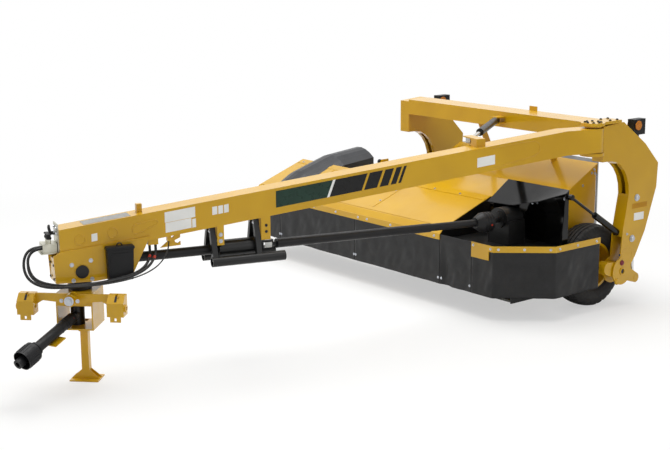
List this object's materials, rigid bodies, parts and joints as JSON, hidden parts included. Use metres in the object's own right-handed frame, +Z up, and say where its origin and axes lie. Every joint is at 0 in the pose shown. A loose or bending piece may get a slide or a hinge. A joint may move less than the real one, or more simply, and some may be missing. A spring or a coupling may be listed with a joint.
{
  "type": "trailed disc mower conditioner",
  "caption": "Trailed side-pull mower conditioner: disc cutting head with rolls under a curtained deck, wheeled arch carrier, swinging tongue and swivel hitch",
  "frame": {"origin": "on the ground, centred under the box that holds the whole machine without its hoses and cable", "axes": "+Z up, +Y to the rear of the machine, +X to its left side"},
  "size_m": [3.791, 5.6302, 1.657],
  "materials": {
    "yellow_paint": "gloss",
    "black_paint": "gloss",
    "black_plastic": "satin",
    "grey_plastic": "satin",
    "amber_plastic": "gloss",
    "curtain_rubber": "matte",
    "bright_steel": "polished",
    "bare_steel": "satin",
    "hose_rubber": "satin",
    "tyre_rubber": "matte",
    "roll_rubber": "matte"
  },
  "bodies": {
    "carrier": {"carrier_beam": "yellow_paint", "legs": "yellow_paint", "tongue_clevis": "yellow_paint", "lamp_housings": "black_plastic", "lamp_lenses": "amber_plastic", "sign_bracket": "yellow_paint", "deck": "yellow_paint", "hood": "yellow_paint", "front_rail": "yellow_paint", "curtains": "curtain_rubber", "platform": "black_paint", "gearbox_shield": "black_paint", "end_dome": "grey_plastic", "head_gearbox": "black_paint", "cutter_bar": "bare_steel", "end_plates": "black_paint", "swath_shields": "black_paint", "suspension_struts": "black_paint", "head_links": "yellow_paint"},
    "tongue": {"tongue_tube": "yellow_paint", "gearbox_housing": "yellow_paint", "swivel_gearbox": "black_paint", "driveline_front": "black_plastic", "driveline_cradle": "black_paint", "document_box": "black_plastic", "valve_block": "bare_steel", "pressure_hose": "hose_rubber", "return_hose": "hose_rubber", "lamp_cable": "hose_rubber"},
    "hitch": {"hitch_frame": "yellow_paint", "pto_gearbox": "black_paint", "pto_shaft": "black_plastic"},
    "hitch_bar": {"hitch_bar": "yellow_paint"},
    "jack": {"jack_leg": "yellow_paint"},
    "left_arm": {"left_arm": "yellow_paint"},
    "right_arm": {"right_arm": "yellow_paint"},
    "left_wheel": {"left_tyre": "tyre_rubber", "left_rim": "yellow_paint"},
    "right_wheel": {"right_tyre": "tyre_rubber", "right_rim": "yellow_paint"},
    "left_lift_barrel": {"left_lift_barrel": "black_paint"},
    "left_lift_rod": {"left_lift_rod": "bright_steel"},
    "right_lift_barrel": {"right_lift_barrel": "black_paint"},
    "right_lift_rod": {"right_lift_rod": "bright_steel"},
    "swing_barrel": {"swing_barrel": "black_paint"},
    "swing_rod": {"swing_rod": "bright_steel"},
    "driveline_outer": {"driveline_outer": "black_plastic"},
    "driveline_inner": {"driveline_inner": "black_plastic"},
    "disc_1": {"disc_1": "bare_steel"},
    "disc_2": {"disc_2": "bare_steel"},
    "disc_3": {"disc_3": "bare_steel"},
    "disc_4": {"disc_4": "bare_steel"},
    "disc_5": {"disc_5": "bare_steel"},
    "disc_6": {"disc_6": "bare_steel"},
    "disc_7": {"disc_7": "bare_steel"},
    "disc_8": {"disc_8": "bare_steel"},
    "upper_roll": {"upper_roll": "roll_rubber"},
    "lower_roll": {"lower_roll": "roll_rubber"}
  },
  "joints": [
    {"name": "tongue_swing", "type": "hinge", "parent": "carrier", "child": "tongue", "pos_m": [1.7955, 1.9731, 1.5], "axis": [0, 0, 1], "range_deg": [0, 38]},
    {"name": "hitch_swivel", "type": "hinge", "parent": "tongue", "child": "hitch", "pos_m": [0.63914, -2.1685, 0.702], "axis": [0, 0, 1], "range_deg": [-149, 25]},
    {"name": "hitch_roll", "type": "hinge", "parent": "hitch", "child": "hitch_bar", "pos_m": [0.77908, -2.31139, 0.674], "axis": [0.6997, -0.7145, 0], "range_deg": [-6, 6]},
    {"name": "jack_slide", "type": "slide", "parent": "hitch", "child": "jack", "axis": [0, 0, 1], "range_m": [0, 0.25]},
    {"name": "left_lift", "type": "hinge", "parent": "carrier", "child": "left_arm", "pos_m": [1.7735, 2.384, 0.31855], "axis": [-1, 0, 0], "range_deg": [-35, 45]},
    {"name": "right_lift", "type": "hinge", "parent": "carrier", "child": "right_arm", "pos_m": [-0.6365, 2.384, 0.31855], "axis": [-1, 0, 0], "range_deg": [-35, 45]},
    {"name": "left_wheel_spin", "type": "hinge", "parent": "left_arm", "child": "left_wheel", "pos_m": [1.58, 2.2231, 0.3595], "axis": [1, 0, 0], "continuous": true},
    {"name": "right_wheel_spin", "type": "hinge", "parent": "right_arm", "child": "right_wheel", "pos_m": [-0.443, 2.2231, 0.3595], "axis": [1, 0, 0], "continuous": true},
    {"name": "left_lift_barrel_pivot", "type": "hinge", "parent": "carrier", "child": "left_lift_barrel", "pos_m": [1.7735, 2.53833, 0.94999], "axis": [-1, 0, 0], "range_deg": [-5.8, 7.4]},
    {"name": "left_lift_rod_slide", "type": "slide", "parent": "left_lift_barrel", "child": "left_lift_rod", "axis": [0, 0.0753, -0.9972], "range_m": [-0.114, 0.146]},
    {"name": "right_lift_barrel_pivot", "type": "hinge", "parent": "carrier", "child": "right_lift_barrel", "pos_m": [-0.6365, 2.53833, 0.94999], "axis": [-1, 0, 0], "range_deg": [-5.8, 7.4]},
    {"name": "right_lift_rod_slide", "type": "slide", "parent": "right_lift_barrel", "child": "right_lift_rod", "axis": [0, 0.0753, -0.9972], "range_m": [-0.114, 0.146]},
    {"name": "swing_barrel_pivot", "type": "hinge", "parent": "carrier", "child": "swing_barrel", "pos_m": [0.6685, 1.9951, 1.547], "axis": [0, 0, 1], "range_deg": [-0.1, 18.4]},
    {"name": "swing_rod_slide", "type": "slide", "parent": "swing_barrel", "child": "swing_rod", "axis": [0.568, -0.823, 0], "range_m": [-0.001, 0.55]},
    {"name": "driveline_joint", "type": "hinge", "parent": "tongue", "child": "driveline_outer", "pos_m": [1.02639, -0.78155, 0.888], "axis": [0, 0, 1], "range_deg": [-0.1, 8.7]},
    {"name": "driveline_slide", "type": "slide", "parent": "driveline_outer", "child": "driveline_inner", "axis": [0.111, 0.9931, -0.0379], "range_m": [-0.001, 0.435]},
    {"name": "disc_1_spin", "type": "hinge", "parent": "carrier", "child": "disc_1", "pos_m": [-1.5755, 1.5331, 0.206], "axis": [0, 0, 1], "continuous": true},
    {"name": "disc_2_spin", "type": "hinge", "parent": "carrier", "child": "disc_2", "pos_m": [-1.1755, 1.5331, 0.206], "axis": [0, 0, 1], "continuous": true},
    {"name": "disc_3_spin", "type": "hinge", "parent": "carrier", "child": "disc_3", "pos_m": [-0.7755, 1.5331, 0.206], "axis": [0, 0, 1], "continuous": true},
    {"name": "disc_4_spin", "type": "hinge", "parent": "carrier", "child": "disc_4", "pos_m": [-0.3755, 1.5331, 0.206], "axis": [0, 0, 1], "continuous": true},
    {"name": "disc_5_spin", "type": "hinge", "parent": "carrier", "child": "disc_5", "pos_m": [0.0245, 1.5331, 0.206], "axis": [0, 0, 1], "continuous": true},
    {"name": "disc_6_spin", "type": "hinge", "parent": "carrier", "child": "disc_6", "pos_m": [0.4245, 1.5331, 0.206], "axis": [0, 0, 1], "continuous": true},
    {"name": "disc_7_spin", "type": "hinge", "parent": "carrier", "child": "disc_7", "pos_m": [0.8245, 1.5331, 0.206], "axis": [0, 0, 1], "continuous": true},
    {"name": "disc_8_spin", "type": "hinge", "parent": "carrier", "child": "disc_8", "pos_m": [1.2245, 1.5331, 0.206], "axis": [0, 0, 1], "continuous": true},
    {"name": "upper_roll_spin", "type": "hinge", "parent": "carrier", "child": "upper_roll", "pos_m": [0.5685, 2.0831, 0.645], "axis": [1, 0, 0], "continuous": true},
    {"name": "lower_roll_spin", "type": "hinge", "parent": "carrier", "child": "lower_roll", "pos_m": [0.5685, 2.0531, 0.392], "axis": [1, 0, 0], "continuous": true}
  ],
  "couplings": [
    {"joint": "right_lift", "follows": "left_lift", "ratio": 1},
    {"joint": "left_lift_barrel_pivot", "follows": "left_lift", "ratio": 0.16202},
    {"joint": "left_lift_rod_slide", "follows": "left_lift", "m_per_rad": 0.18344},
    {"joint": "right_lift_barrel_pivot", "follows": "left_lift", "ratio": 0.16202},
    {"joint": "right_lift_rod_slide", "follows": "left_lift", "m_per_rad": 0.18344},
    {"joint": "swing_barrel_pivot", "follows": "tongue_swing", "ratio": 0.47923},
    {"joint": "swing_rod_slide", "follows": "tongue_swing", "m_per_rad": 0.8275},
    {"joint": "driveline_joint", "follows": "tongue_swing", "ratio": 0.2239},
    {"joint": "driveline_slide", "follows": "tongue_swing", "m_per_rad": 0.65362},
    {"joint": "disc_2_spin", "follows": "disc_1_spin", "ratio": -1},
    {"joint": "disc_3_spin", "follows": "disc_1_spin", "ratio": 1},
    {"joint": "disc_4_spin", "follows": "disc_1_spin", "ratio": -1},
    {"joint": "disc_5_spin", "follows": "disc_1_spin", "ratio": 1},
    {"joint": "disc_6_spin", "follows": "disc_1_spin", "ratio": -1},
    {"joint": "disc_7_spin", "follows": "disc_1_spin", "ratio": 1},
    {"joint": "disc_8_spin", "follows": "disc_1_spin", "ratio": -1},
    {"joint": "lower_roll_spin", "follows": "upper_roll_spin", "ratio": -1}
  ]
}
